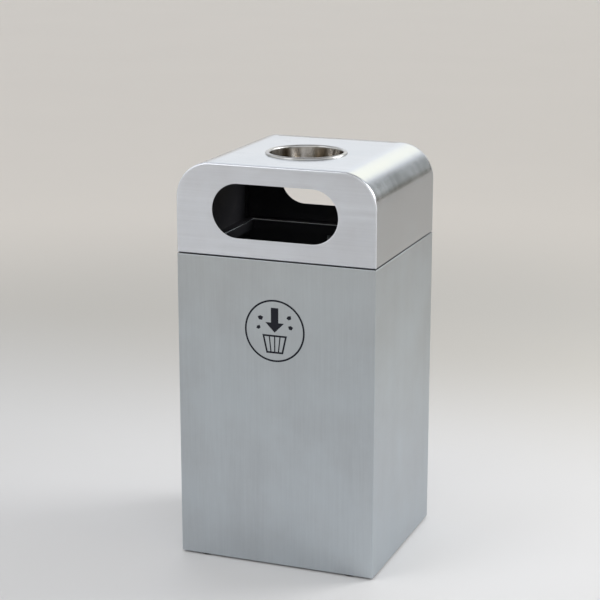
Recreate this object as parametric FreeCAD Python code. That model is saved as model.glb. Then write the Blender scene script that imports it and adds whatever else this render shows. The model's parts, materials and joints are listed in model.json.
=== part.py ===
import FreeCAD, Part

import math
import os

# Litter bin with a lift-off hood, an ash bowl and a lift-out liner.
# Millimetres. +Z is up, the front faces -Y, and the origin is on the floor under the centre.

# Overall
WIDTH = 400.0
DEPTH = 355.0
SHEET = 1.2  # stainless sheet of the casing and the hood
FOOT_GAP = 4.0  # daylight between the floor and the casing's lower edge

# Casing
CASING_TOP = 611.2
CASING_BEND = 2.0  # outside radius of the casing's folds
LEDGE = 16.5  # how far the folded top reaches inwards
LEDGE_BEND = 1.08  # outside radius where the ledge turns down
LIP = 20.0  # how far the ledge's edge turns down
LIP_CORNER = 0.5  # inside radius of the mouth's corners
SEAM_SLIT = 0.5  # closing joint of the folded sheet, at the back
SEAM_STRIP = 50.0

# Base
BASE_SHEET = 1.5
BASE_Z = 5.0
BASE_FLANGE = 25.0
ANCHOR_SPACING = (280.0, 200.0)
ANCHOR_RADIUS = 5.5
FOOT_SPACING = (300.0, 320.0)
FOOT_RADIUS = 15.0
FOOT_CHAMFER = 0.8
SCREW_RADIUS = 4.0
SCREW_CLEARANCE = 0.2
SCREW_HEAD = (8.0, 2.5)  # radius and height
SCREW_RECESS = 0.8  # the head's height above the floor
SCREW_END = 1.5  # how far the screw shows above its nut
NUT_HEIGHT = 6.5
NUT_FLATS = 13.0
NUT_TURNING = (2.0, 0.8)  # the turned cone is this much wider below and narrower above
THREAD_GAP = 0.02
RAIL_SECTION = (36.0, 30.0)
RAIL_FLANGE = 12.0
RAIL_LENGTH = 280.0
RAIL_X = 80.0
GUIDE_LEG = 40.0
GUIDE_HEIGHT = 60.0

# Hood
HOOD_GAP = 1.5  # shadow line between the casing and the hood
HOOD_TOP = 789.0
HOOD_BEND = 69.0  # the two large bends, outside radius
PANEL_BEND = 3.0  # outside radius around the end panels
PANEL_EDGE = 3.2  # how much of the end panel shows beside the wrap
GROOVE = 0.3  # hairline between the end panel and the wrap
PANEL_RETURN = 22.0
PANEL_CLEARANCE = 0.05  # between the panel's return and the wrap
LEDGE_CLEARANCE = 1.0  # between the panel's ledge and the wrap's ledges
HOOD_LEDGE = 16.5
SLOT_SIZE = (252.0, 104.0)
SLOT_Z = 701.0
BUFFER_RADIUS = 6.0
BUFFER_SPACING = (381.0, 280.0)
PIN_RADIUS = 3.0
PIN_DROP = 11.0  # how far the hood's locating pins reach below the hood
PIN_SPACING = (381.0, 120.0)
PIN_PLAY = 1.0

# Ash bowl
BOWL_Y = -10.0
BOWL_OPENING = 71.5  # radius at the top
BOWL_FLOOR = 67.5  # radius at the bottom
BOWL_DEPTH = 50.0
BOWL_CORNER = 16.0
BOWL_SHEET = 1.0
BOWL_RIM = 79.5
BOWL_RIM_HEIGHT = 3.7
BOWL_HOLE = 73.5
SEAT_RING = 90.0
SEAT_COLLAR = 12.0

# Liner
LINER_SIZE = (340.0, 295.0)
LINER_CORNER = 30.0
LINER_SHEET = 0.9
LINER_TOP = 556.0
LINER_KICK = 8.0  # the liner's floor stands this far above its lower edge
LINER_PLAY = 2.0
RIM_RADIUS = 3.5
RIM_WIRE = 2.5
SEAM_FOLD = (8.0, 1.0)
HANDLE_Z = 528.0
HANDLE_OFFSET = 7.0  # pivot to the liner's inner wall
HANDLE_ROD = 3.0
HANDLE_SPAN = 104.0
HANDLE_DROP = 48.0
HANDLE_BEND = 12.0
PIVOT_LENGTH = 16.0
LUG_PLATE = (14.0, 44.0, 1.5)
LUG_CORNER = 5.6
LUG_SLEEVE = 5.0
LUG_CLEARANCE = 0.06
RIVET_RADIUS = 2.4
RIVET_HEAD = (4.5, 1.6)
RIVET_ROUNDING = 1.28
RIVET_SPACING = 32.0

# Printed mark on the front
MARK_Z = 476.0
MARK_RADIUS = 59.0
MARK_LINE = 3.5
MARK_THICKNESS = 0.2

TOUCH = 0.1  # clearance where one body rests on another
PAST = 5.0  # how far a cutting shape runs past the material

# Worked out
HOOD_BASE = CASING_TOP + HOOD_GAP
FRONT = -DEPTH / 2
MOUTH = (WIDTH - 2 * (SHEET + LEDGE), DEPTH - 2 * (SHEET + LEDGE))
BASE_TOP = BASE_Z + BASE_SHEET
LINER_BASE = BASE_TOP + RAIL_SECTION[1]
LINER_WALL = LINER_SIZE[0] / 2 - LINER_SHEET
PIVOT_X = LINER_WALL - HANDLE_OFFSET
SIDES = {"left": -1, "right": 1}
ENDS = {"front": -1, "rear": 1}
UP = FreeCAD.Vector(0, 0, 1)
ALONG_Y = FreeCAD.Vector(0, 1, 0)


def vec(x, y, z):
    return FreeCAD.Vector(x, y, z)


def block(low, high):
    """A box from its lowest corner to its highest corner."""
    size = [b - a for a, b in zip(low, high)]
    return Part.makeBox(*size, vec(*low))


def cylinder(radius, x, y, z0, z1):
    return Part.makeCylinder(radius, z1 - z0, vec(x, y, z0), UP)


def edges_where(shape, test):
    """The edges whose both ends and middle pass the test."""
    found = []
    for edge in shape.Edges:
        middle = edge.valueAt((edge.FirstParameter + edge.LastParameter) / 2)
        points = [v.Point for v in edge.Vertexes] + [middle]
        if all(test(p) for p in points):
            found.append(edge)
    return found


def upright(shape):
    """The shape's vertical edges."""
    return [e for e in shape.Edges if abs(e.tangentAt(e.FirstParameter).z) > 0.99]


def corner_block(width, depth, radius, z0, z1):
    """A box centred on the Z axis with its upright edges rounded."""
    solid = block((-width / 2, -depth / 2, z0), (width / 2, depth / 2, z1))
    return solid.makeFillet(radius, upright(solid))


def tube(width, depth, radius, wall, z0, z1):
    """An open rectangular tube with rounded upright edges."""
    outer = corner_block(width, depth, radius, z0, z1)
    inner = corner_block(
        width - 2 * wall, depth - 2 * wall, radius - wall, z0 - PAST, z1 + PAST
    )
    return outer.cut(inner)


def corners(spacing):
    """Four named corners of a rectangle centred on the Z axis."""
    half_x, half_y = spacing[0] / 2, spacing[1] / 2
    return {
        end + "_" + side: (sx * half_x, sy * half_y)
        for end, sy in ENDS.items()
        for side, sx in SIDES.items()
    }


def mirrored(shape, normal):
    return shape.mirror(vec(0, 0, 0), normal)


def group(solids):
    return Part.makeCompound(list(solids))


# ---------------------------------------------------------------- casing


def casing_block(inset, z0, z1):
    """The casing's outline with its upright and top edges folded round."""
    half_x, half_y = WIDTH / 2 - inset, DEPTH / 2 - inset
    solid = block((-half_x, -half_y, z0), (half_x, half_y, z1))
    top = edges_where(solid, lambda p: abs(p.z - z1) < 1e-6)
    return solid.makeFillet(CASING_BEND - inset, upright(solid) + top)


def make_casing():
    """Four walls whose top edge is folded in and down around the mouth."""
    shell = casing_block(0, FOOT_GAP, CASING_TOP)
    shell = shell.cut(casing_block(SHEET, FOOT_GAP - PAST, CASING_TOP - SHEET))
    lip = tube(
        MOUTH[0] + 2 * SHEET,
        MOUTH[1] + 2 * SHEET,
        SHEET + LIP_CORNER,
        SHEET,
        CASING_TOP - LIP,
        CASING_TOP - SHEET / 2,
    )
    mouth = corner_block(*MOUTH, LIP_CORNER, CASING_TOP - 2 * LIP, CASING_TOP + PAST)
    folded = shell.fuse(lip).cut(mouth).removeSplitter()
    rim = edges_where(
        folded,
        lambda p: abs(p.z - CASING_TOP) < 1e-6
        and abs(p.x) < MOUTH[0] / 2 + 1e-3
        and abs(p.y) < MOUTH[1] / 2 + 1e-3,
    )
    folded = folded.makeFillet(LEDGE_BEND, rim)
    slit = block(
        (-SEAM_SLIT / 2, DEPTH / 2 - SHEET - SEAM_SLIT, FOOT_GAP - PAST),
        (SEAM_SLIT / 2, DEPTH / 2 + PAST, CASING_TOP - 2 * CASING_BEND),
    )
    folded = folded.cut(slit)
    for x, y in corners(PIN_SPACING).values():
        below, above = CASING_TOP - LIP, CASING_TOP + PAST
        folded = folded.cut(cylinder(PIN_RADIUS + PIN_PLAY, x, y, below, above))
    return folded


def make_seam_strip():
    """Cover strip welded inside the back wall behind the closing joint."""
    inside = DEPTH / 2 - SHEET
    return block(
        (-SEAM_STRIP / 2, inside - SHEET, BASE_Z + BASE_FLANGE + PAST),
        (SEAM_STRIP / 2, inside, CASING_TOP - LIP - PAST),
    )


def make_base_plate():
    """A shallow tray inside the casing's lower edge, with its anchor and foot holes."""
    outer_x, outer_y = WIDTH - 2 * SHEET, DEPTH - 2 * SHEET
    tray = corner_block(outer_x, outer_y, CASING_BEND, BASE_Z, BASE_Z + BASE_FLANGE)
    tray = tray.cut(
        corner_block(
            outer_x - 2 * BASE_SHEET,
            outer_y - 2 * BASE_SHEET,
            CASING_BEND / 2,
            BASE_TOP,
            BASE_Z + BASE_FLANGE + PAST,
        )
    )
    foot_hole = SCREW_RADIUS + SCREW_CLEARANCE
    for spacing, radius in ((ANCHOR_SPACING, ANCHOR_RADIUS), (FOOT_SPACING, foot_hole)):
        for x, y in corners(spacing).values():
            tray = tray.cut(cylinder(radius, x, y, BASE_Z - PAST, BASE_TOP + PAST))
    return tray


def make_rail(side):
    """A hat-section rail that carries the liner above the anchor bolts."""
    width, height = RAIL_SECTION
    top = BASE_TOP + height
    half = RAIL_LENGTH / 2
    hat = block((-width / 2, -half, BASE_TOP), (width / 2, half, top))
    fold = edges_where(hat, lambda p: abs(p.z - top) < 1e-6)
    long_folds = [e for e in fold if abs(e.tangentAt(0).y) > 0.99]
    hat = hat.makeFillet(2 * BASE_SHEET, long_folds)
    hollow = block(
        (-width / 2 + BASE_SHEET, -half - PAST, BASE_TOP - PAST),
        (width / 2 - BASE_SHEET, half + PAST, top - BASE_SHEET),
    )
    hollow_top = edges_where(hollow, lambda p: abs(p.z - top + BASE_SHEET) < 1e-6)
    hollow = hollow.makeFillet(
        BASE_SHEET, [e for e in hollow_top if abs(e.tangentAt(0).y) > 0.99]
    )
    hat = hat.cut(hollow)
    for sx in SIDES.values():
        inner, outer = width / 2 - BASE_SHEET, width / 2 + RAIL_FLANGE
        x0, x1 = sorted((sx * inner, sx * outer))
        flange = block((x0, -half, BASE_TOP), (x1, half, BASE_TOP + BASE_SHEET))
        hat = hat.fuse(flange)
    return hat.removeSplitter().translated(vec(side * RAIL_X, 0, 0))


def make_guide(sx, sy):
    """An upright angle that keeps one lower corner of the liner in its place."""
    face_x = LINER_SIZE[0] / 2 + LINER_PLAY
    face_y = LINER_SIZE[1] / 2 + LINER_PLAY
    high = BASE_TOP + GUIDE_HEIGHT
    outer = block(
        (face_x - GUIDE_LEG, face_y - GUIDE_LEG, BASE_TOP),
        (face_x + BASE_SHEET, face_y + BASE_SHEET, high),
    )
    fold = edges_where(
        outer,
        lambda p: abs(p.x - face_x - BASE_SHEET) < 1e-6
        and abs(p.y - face_y - BASE_SHEET) < 1e-6,
    )
    outer = outer.makeFillet(2 * BASE_SHEET, fold)
    inner = block(
        (face_x - GUIDE_LEG - PAST, face_y - GUIDE_LEG - PAST, BASE_TOP - PAST),
        (face_x, face_y, high + PAST),
    )
    angle = outer.cut(inner)
    if sx < 0:
        angle = mirrored(angle, vec(1, 0, 0))
    if sy < 0:
        angle = mirrored(angle, vec(0, 1, 0))
    return angle


def make_foot(x, y):
    """A rubber pad with a bored recess for its screw head."""
    pad = cylinder(FOOT_RADIUS, x, y, 0, BASE_Z)
    lower = edges_where(pad, lambda p: abs(p.z) < 1e-6)
    pad = pad.makeChamfer(FOOT_CHAMFER, lower)
    head_radius, head_height = SCREW_HEAD
    recess_top = head_height + SCREW_RECESS
    bore = cylinder(SCREW_RADIUS + SCREW_CLEARANCE, x, y, -PAST, BASE_Z + PAST)
    recess = cylinder(head_radius + SCREW_CLEARANCE, x, y, -PAST, recess_top)
    return pad.cut(bore).cut(recess)


def make_foot_screw(x, y):
    head_radius, head_height = SCREW_HEAD
    head_top = SCREW_RECESS + head_height
    head = cylinder(head_radius, x, y, SCREW_RECESS, head_top)
    rounded = edges_where(head, lambda p: abs(p.z - SCREW_RECESS) < 1e-6)
    head = head.makeFillet(head_height / 2, rounded)
    shank = cylinder(SCREW_RADIUS, x, y, head_top, BASE_TOP + NUT_HEIGHT + SCREW_END)
    return head.fuse(shank).removeSplitter()


def make_nut(x, y):
    """A hexagon nut with its upper corners turned off."""
    corner = NUT_FLATS / 2 / math.cos(math.radians(30))
    points = [
        vec(
            x + corner * math.cos(math.radians(60 * i)),
            y + corner * math.sin(math.radians(60 * i)),
            BASE_TOP,
        )
        for i in range(7)
    ]
    prism = Part.Face(Part.makePolygon(points)).extrude(UP * NUT_HEIGHT)
    wider, narrower = NUT_TURNING
    turned = Part.makeCone(
        corner + wider, corner - narrower, NUT_HEIGHT, vec(x, y, BASE_TOP), UP
    )
    bore_radius = SCREW_RADIUS + THREAD_GAP
    bore = cylinder(bore_radius, x, y, BASE_TOP - PAST, BASE_TOP + 2 * NUT_HEIGHT)
    return prism.common(turned).cut(bore)


def make_buffer(x, y):
    """A thin rubber pad on the casing's ledge that the hood rests on."""
    return cylinder(BUFFER_RADIUS, x, y, CASING_TOP, HOOD_BASE - TOUCH)


# ---------------------------------------------------------------- hood


def arch_prism(inset, y0, y1, z0):
    """The hood's end outline, set in by inset: a flat top and two large bends."""
    side, top = WIDTH / 2 - inset, HOOD_TOP - inset
    radius = HOOD_BEND - inset
    spring_x, spring_z = WIDTH / 2 - HOOD_BEND, HOOD_TOP - HOOD_BEND
    diagonal = radius * math.sqrt(0.5)
    right_bend = Part.Arc(
        vec(side, y0, spring_z),
        vec(spring_x + diagonal, y0, spring_z + diagonal),
        vec(spring_x, y0, top),
    )
    left_bend = Part.Arc(
        vec(-spring_x, y0, top),
        vec(-spring_x - diagonal, y0, spring_z + diagonal),
        vec(-side, y0, spring_z),
    )
    outline = [
        Part.LineSegment(vec(-side, y0, z0), vec(side, y0, z0)),
        Part.LineSegment(vec(side, y0, z0), vec(side, y0, spring_z)),
        right_bend,
        Part.LineSegment(vec(spring_x, y0, top), vec(-spring_x, y0, top)),
        left_bend,
        Part.LineSegment(vec(-side, y0, spring_z), vec(-side, y0, z0)),
    ]
    face = Part.Face(Part.Wire([c.toShape() for c in outline]))
    return face.extrude(ALONG_Y * (y1 - y0))


def make_hood_wrap():
    """One sheet bent over the top and both sides, its lower edges folded in."""
    y0 = FRONT + PANEL_EDGE + GROOVE
    y1 = -y0
    solid = arch_prism(0, y0, y1, HOOD_BASE)
    folds = edges_where(
        solid, lambda p: abs(p.z - HOOD_BASE) < 1e-6 and abs(abs(p.x) - WIDTH / 2) < 1e-6
    )
    solid = solid.makeFillet(CASING_BEND, folds)
    solid = solid.cut(arch_prism(SHEET, y0 - PAST, y1 + PAST, HOOD_BASE + SHEET))
    open_x = WIDTH / 2 - SHEET - HOOD_LEDGE
    opening = block(
        (-open_x, y0 - PAST, HOOD_BASE - PAST), (open_x, y1 + PAST, HOOD_BASE + PAST)
    )
    hole = cylinder(BOWL_HOLE, 0, BOWL_Y, HOOD_TOP - PAST, HOOD_TOP + PAST)
    return solid.cut(opening).cut(hole)


def slot_cutter(y0, y1):
    """A long slot with half-round ends, on its side across the panel."""
    length, height = SLOT_SIZE
    radius = height / 2
    reach = length / 2 - radius
    middle = block((-reach, y0, SLOT_Z - radius), (reach, y1, SLOT_Z + radius))
    ends = [
        Part.makeCylinder(radius, y1 - y0, vec(sx * reach, y0, SLOT_Z), ALONG_Y)
        for sx in SIDES.values()
    ]
    return middle.fuse(ends).removeSplitter()


def make_front_panel():
    """A pan: a flat face, a small bend all round, and a return inside the wrap."""
    rim = FRONT + PANEL_EDGE
    face_back = FRONT + SHEET
    pan = arch_prism(0, FRONT, rim, HOOD_BASE)
    pan = pan.makeFillet(PANEL_BEND, edges_where(pan, lambda p: abs(p.y - FRONT) < 1e-6))
    double = 2 * SHEET
    pan = pan.cut(arch_prism(double, face_back, rim + PAST, HOOD_BASE + double))
    under_wrap = SHEET + PANEL_CLEARANCE
    back = FRONT + PANEL_RETURN
    ring = arch_prism(under_wrap, face_back, back, HOOD_BASE + under_wrap)
    ring = ring.cut(arch_prism(double, FRONT, back + PAST, HOOD_BASE - PAST))
    half = MOUTH[0] / 2 - LEDGE_CLEARANCE
    ledge = block(
        (-half, FRONT + PANEL_BEND, HOOD_BASE),
        (half, face_back + HOOD_LEDGE, HOOD_BASE + SHEET),
    )
    pan = pan.fuse([ring, ledge]).removeSplitter()
    return pan.cut(slot_cutter(FRONT - PAST, FRONT + PAST))


def make_pin(x, y):
    """A stud welded under the hood's folded edge, with a tapered tip."""
    tip = PIN_RADIUS
    low = HOOD_BASE - PIN_DROP
    shank = cylinder(PIN_RADIUS, x, y, low + tip, HOOD_BASE)
    cone = Part.makeCone(PIN_RADIUS / 2, PIN_RADIUS, tip, vec(x, y, low), UP)
    return shank.fuse(cone).removeSplitter()


def make_seat_ring():
    """A ring under the roof with a collar that stiffens the bowl's hole."""
    under = HOOD_TOP - SHEET
    plate = cylinder(SEAT_RING, 0, BOWL_Y, under - BASE_SHEET, under)
    collar = cylinder(BOWL_HOLE + BASE_SHEET, 0, BOWL_Y, under - SEAT_COLLAR, under)
    hole = cylinder(BOWL_HOLE, 0, BOWL_Y, under - SEAT_COLLAR - PAST, under + PAST)
    return plate.fuse(collar).cut(hole).removeSplitter()


def make_ash_bowl():
    """A drawn bowl with tapered walls, a round corner and a half-round rolled rim."""
    seat = HOOD_TOP + TOUCH
    depth = BOWL_DEPTH + TOUCH

    def tapered(extra):
        foot = vec(0, BOWL_Y, seat - depth - extra)
        cone = Part.makeCone(
            BOWL_FLOOR + extra, BOWL_OPENING + extra, depth + extra, foot, UP
        )
        low = edges_where(cone, lambda p: abs(p.z - foot.z) < 1e-6)
        return cone.makeFillet(BOWL_CORNER + extra, low)

    bowl = tapered(BOWL_SHEET).cut(tapered(0))
    middle = (BOWL_RIM + BOWL_OPENING) / 2

    def half_round(inset):
        """The space under an arc from the opening to the rim, turned about the bowl's axis."""
        outer, inner = BOWL_RIM - inset, BOWL_OPENING + inset
        crown = seat + BOWL_RIM_HEIGHT - inset
        arc = Part.Arc(vec(inner, 0, seat), vec(middle, 0, crown), vec(outer, 0, seat))
        chord = Part.LineSegment(vec(outer, 0, seat), vec(inner, 0, seat))
        face = Part.Face(Part.Wire([arc.toShape(), chord.toShape()]))
        ring = face.revolve(vec(0, 0, 0), UP, 360)
        return ring.translated(vec(0, BOWL_Y, 0))

    rim = half_round(0).cut(half_round(BOWL_SHEET))
    return bowl.fuse(rim).removeSplitter()


# ---------------------------------------------------------------- liner


def rounded_path(width, depth, radius, z):
    """A closed rounded rectangle of lines and arcs at height z."""
    half_x, half_y = width / 2, depth / 2
    in_x, in_y = half_x - radius, half_y - radius
    diagonal = radius * math.sqrt(0.5)
    edges = []
    turn = ((1, 1), (-1, 1), (-1, -1), (1, -1))
    for i, (sx, sy) in enumerate(turn):
        on_side = vec(sx * half_x, sy * in_y, z)
        on_end = vec(sx * in_x, sy * half_y, z)
        bend = vec(sx * (in_x + diagonal), sy * (in_y + diagonal), z)
        start, stop = (on_side, on_end) if sx * sy > 0 else (on_end, on_side)
        nx, ny = turn[(i + 1) % 4]
        next_side = vec(nx * half_x, ny * in_y, z)
        next_end = vec(nx * in_x, ny * half_y, z)
        next_start = next_side if nx * ny > 0 else next_end
        edges.append(Part.Arc(start, bend, stop).toShape())
        edges.append(Part.LineSegment(stop, next_start).toShape())
    return Part.Wire(edges)


def rim_roll(radius):
    """A round bar of the given radius around the liner's mouth, outside its wall."""
    shift = 2 * (RIM_RADIUS - LINER_SHEET)
    width, depth = LINER_SIZE[0] + shift, LINER_SIZE[1] + shift
    path = rounded_path(width, depth, LINER_CORNER + shift / 2, LINER_TOP)
    start = path.Vertexes[0].Point
    along = path.Edges[0].tangentAt(path.Edges[0].FirstParameter)
    section = Part.Wire([Part.Circle(start, along, radius).toShape()])
    return path.makePipeShell([section], True, True)


def rivet_points(y):
    """Heights of the two rivets of a handle lug, as (y, z) pairs."""
    return [(y, HANDLE_Z + s * RIVET_SPACING / 2) for s in (-1, 1)]


def lug_ys():
    middle = HANDLE_SPAN / 2 + PIVOT_LENGTH / 2
    return {"front": -middle, "rear": middle}


def side_hole(radius, y, z, x0, x1):
    return Part.makeCylinder(radius, x1 - x0, vec(x0, y, z), vec(1, 0, 0))


def make_liner_shell():
    """A folded sheet box with a grooved seam at the back and a wired rolled rim."""
    shell = tube(*LINER_SIZE, LINER_CORNER, LINER_SHEET, LINER_BASE, LINER_TOP)
    roll = rim_roll(RIM_RADIUS)
    mouth = corner_block(
        LINER_SIZE[0] - 2 * LINER_SHEET,
        LINER_SIZE[1] - 2 * LINER_SHEET,
        LINER_CORNER - LINER_SHEET,
        LINER_TOP - 2 * LIP,
        LINER_TOP + LIP,
    )
    width, rise = SEAM_FOLD
    back = LINER_SIZE[1] / 2
    fold = block(
        (-width / 2, back - LINER_SHEET / 2, LINER_BASE),
        (width / 2, back + rise, LINER_TOP),
    )
    shell = shell.fuse([roll, fold]).cut(mouth).cut(rim_roll(RIM_WIRE)).removeSplitter()
    wall = LINER_SIZE[0] / 2
    for y in lug_ys().values():
        for ry, rz in rivet_points(y):
            shell = shell.cut(side_hole(RIVET_RADIUS, ry, rz, -wall - PAST, wall + PAST))
    return shell


def make_liner_bottom():
    """A pressed floor with a turned-down flange inside the shell's lower edge."""
    width = LINER_SIZE[0] - 2 * LINER_SHEET
    depth = LINER_SIZE[1] - 2 * LINER_SHEET
    radius = LINER_CORNER - LINER_SHEET
    floor = LINER_BASE + LINER_KICK
    pan = corner_block(width, depth, radius, LINER_BASE, floor + LINER_SHEET)
    top = edges_where(pan, lambda p: abs(p.z - floor - LINER_SHEET) < 1e-6)
    pan = pan.makeFillet(2 * LINER_SHEET, top)
    hollow = corner_block(
        width - 2 * LINER_SHEET,
        depth - 2 * LINER_SHEET,
        radius - LINER_SHEET,
        LINER_BASE - PAST,
        floor,
    )
    return pan.cut(hollow)


def make_lug(y):
    """A riveted plate with a sleeve that holds one end of a handle, on the right wall."""
    width, height, thick = LUG_PLATE
    plate = block(
        (LINER_WALL - thick, y - width / 2, HANDLE_Z - height / 2),
        (LINER_WALL, y + width / 2, HANDLE_Z + height / 2),
    )
    rounded = [e for e in plate.Edges if abs(e.tangentAt(0).x) > 0.99]
    plate = plate.makeFillet(LUG_CORNER, rounded)
    start = vec(PIVOT_X, y - width / 2, HANDLE_Z)
    sleeve = Part.makeCylinder(LUG_SLEEVE, width, start, ALONG_Y)
    web = block(
        (PIVOT_X, y - width / 2, HANDLE_Z - LUG_SLEEVE),
        (LINER_WALL - thick / 2, y + width / 2, HANDLE_Z + LUG_SLEEVE),
    )
    bore_start = vec(PIVOT_X, y - width, HANDLE_Z)
    bore = Part.makeCylinder(HANDLE_ROD + LUG_CLEARANCE, 2 * width, bore_start, ALONG_Y)
    lug = plate.fuse([sleeve, web]).cut(bore).removeSplitter()
    for ry, rz in rivet_points(y):
        lug = lug.cut(side_hole(RIVET_RADIUS, ry, rz, PIVOT_X, LINER_WALL + PAST))
    return lug


def make_rivet(y, z):
    """A rivet through the right wall with a low domed head on each side."""
    inside = LINER_WALL - LUG_PLATE[2]
    outside = LINER_SIZE[0] / 2
    radius, height = RIVET_HEAD
    shank = side_hole(RIVET_RADIUS, y, z, inside, outside)

    def head(x0, outer_x):
        disc = side_hole(radius, y, z, x0, x0 + height)
        edge = edges_where(disc, lambda p: abs(p.x - outer_x) < 1e-6)
        return disc.makeFillet(RIVET_ROUNDING, edge)

    inner = head(inside - height, inside - height)
    outer = head(outside, outside + height)
    return shank.fuse([inner, outer]).removeSplitter()


def make_rivets():
    return group(make_rivet(y, z) for ly in lug_ys().values() for y, z in rivet_points(ly))


def make_handle():
    """A round bar bent to a U that hangs from its two turned-out ends, on the right wall."""
    end = HANDLE_SPAN / 2 + PIVOT_LENGTH
    low = HANDLE_Z - HANDLE_DROP
    bend = HANDLE_BEND
    leg = HANDLE_SPAN / 2 - bend
    short = bend * (1 - math.sqrt(0.5))

    def at(y, z):
        return vec(PIVOT_X, y, z)

    def side(s):
        """Half of the bar's centre line, from the turned-out end to the grip."""
        return [
            Part.LineSegment(at(s * end, HANDLE_Z), at(s * (leg + bend), HANDLE_Z)),
            Part.Arc(
                at(s * (leg + bend), HANDLE_Z),
                at(s * (leg + short), HANDLE_Z - short),
                at(s * leg, HANDLE_Z - bend),
            ),
            Part.LineSegment(at(s * leg, HANDLE_Z - bend), at(s * leg, low + bend)),
            Part.Arc(
                at(s * leg, low + bend),
                at(s * (leg - short), low + short),
                at(s * (leg - bend), low),
            ),
        ]

    grip = Part.LineSegment(at(-leg + bend, low), at(leg - bend, low))
    curves = side(-1) + [grip] + side(1)[::-1]
    path = Part.Wire(Part.__sortEdges__([c.toShape() for c in curves]))
    first = at(-end, HANDLE_Z)
    section = Part.Wire([Part.Circle(first, ALONG_Y, HANDLE_ROD).toShape()])
    return path.makePipeShell([section], True, True)


# ---------------------------------------------------------------- printed mark


def flat_ink(wire):
    """Ink of the print's thickness, grown outwards from the casing's front face."""
    return Part.Face(wire).extrude(vec(0, -MARK_THICKNESS, 0))


def ink_polygon(points):
    """A flat area of ink from (x, z) points measured from the mark's centre."""
    placed = [vec(x, FRONT, MARK_Z + z) for x, z in points]
    return flat_ink(Part.makePolygon(placed + placed[:1]))


def ink_ring(radius, line):
    """A circle drawn with a line of the given width."""
    centre = vec(0, FRONT, MARK_Z)
    toward = vec(0, -1, 0)
    outer = Part.makeCylinder(radius + line / 2, MARK_THICKNESS, centre, toward)
    return outer.cut(Part.makeCylinder(radius - line / 2, MARK_THICKNESS, centre, toward))


def ink_bin():
    """A tapered basket in outline: a wide mouth, a narrow floor and three ribs."""
    top_half, foot_half = 25.0, 17.0
    top, foot = -8.0, -44.0
    rib_top, rib_foot = 11.0, 7.5
    line = MARK_LINE

    def half_at(z):
        share = (z - foot) / (top - foot)
        return foot_half + (top_half - foot_half) * share

    outer = ink_polygon(
        [(-top_half, top), (top_half, top), (foot_half, foot), (-foot_half, foot)]
    )
    inner_top, inner_foot = top - line, foot + line
    inner = ink_polygon(
        [
            (-half_at(inner_top) + line, inner_top),
            (half_at(inner_top) - line, inner_top),
            (half_at(inner_foot) - line, inner_foot),
            (-half_at(inner_foot) + line, inner_foot),
        ]
    )
    basket = outer.cut(inner)
    for lean in (-1, 0, 1):
        upper, lower = lean * rib_top, lean * rib_foot
        rib = ink_polygon(
            [
                (upper - line / 3, top - line / 2),
                (upper + line / 3, top - line / 2),
                (lower + line / 3, foot + line / 2),
                (lower - line / 3, foot + line / 2),
            ]
        )
        basket = basket.fuse(rib)
    return basket.removeSplitter()


def ink_arrow():
    """A bold arrow pointing down into the basket."""
    shaft, head = 7.5, 19.0
    tip, neck, top = -3.0, 16.0, 45.0
    return ink_polygon(
        [
            (-shaft, top),
            (shaft, top),
            (shaft, neck),
            (head, neck),
            (0, tip),
            (-head, neck),
            (-shaft, neck),
        ]
    )


def ink_scrap(x, z, size, turn):
    """A crumpled scrap: an uneven five-sided patch."""
    reach = (1.0, 0.72, 0.95, 0.8, 0.9)
    points = []
    for i, share in enumerate(reach):
        angle = math.radians(turn + 360 / len(reach) * i)
        points.append((x + size * share * math.cos(angle), z + size * share * math.sin(angle)))
    return ink_polygon(points)


def make_pictogram():
    """A ring around a basket, an arrow and a few scraps of litter."""
    scraps = [
        ink_scrap(-29.0, 24.0, 6.0, 20),
        ink_scrap(29.0, 28.0, 5.5, 50),
        ink_scrap(-33.0, 5.0, 5.0, 65),
        ink_scrap(32.0, 9.0, 5.5, 10),
    ]
    return group([ink_ring(MARK_RADIUS, MARK_LINE), ink_bin(), ink_arrow()] + scraps)


# ---------------------------------------------------------------- assembly


def casing_parts():
    parts = {
        "casing": make_casing(),
        "casing_seam_strip": make_seam_strip(),
        "base_plate": make_base_plate(),
        "foot_screws": group(make_foot_screw(*p) for p in corners(FOOT_SPACING).values()),
        "foot_nuts": group(make_nut(*p) for p in corners(FOOT_SPACING).values()),
        "pictogram": make_pictogram(),
    }
    for side, sx in SIDES.items():
        parts["liner_rail_" + side] = make_rail(sx)
        for end, sy in ENDS.items():
            parts["liner_guide_" + end + "_" + side] = make_guide(sx, sy)
    for name, (x, y) in corners(FOOT_SPACING).items():
        parts["foot_" + name] = make_foot(x, y)
    for name, (x, y) in corners(BUFFER_SPACING).items():
        parts["hood_buffer_" + name] = make_buffer(x, y)
    return parts


def hood_parts():
    front = make_front_panel()
    parts = {
        "hood_wrap": make_hood_wrap(),
        "hood_front_panel": front,
        "hood_rear_panel": mirrored(front, ALONG_Y),
        "bowl_seat_ring": make_seat_ring(),
        "ash_bowl": make_ash_bowl(),
    }
    for name, (x, y) in corners(PIN_SPACING).items():
        parts["hood_pin_" + name] = make_pin(x, y)
    return parts


def liner_parts():
    parts = {
        "liner_shell": make_liner_shell(),
        "liner_bottom": make_liner_bottom(),
        "liner_rim_wire": rim_roll(RIM_WIRE),
    }
    right = {"liner_handle": make_handle(), "handle_rivets": make_rivets()}
    for end, y in lug_ys().items():
        right["handle_lug_" + end] = make_lug(y)
    for name, shape in right.items():
        parts[name + "_right"] = shape
        parts[name + "_left"] = mirrored(shape, vec(1, 0, 0))
    return parts


def main():
    os.makedirs("parts", exist_ok=True)
    for parts in (casing_parts(), hood_parts(), liner_parts()):
        for name, shape in sorted(parts.items()):
            if not shape.isValid():
                raise ValueError(name + " is not a valid solid")
            print(name, "solids", len(shape.Solids), "cm3", round(shape.Volume / 1000, 2))
            shape.exportStep("parts/" + name + ".step")


main()
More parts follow.
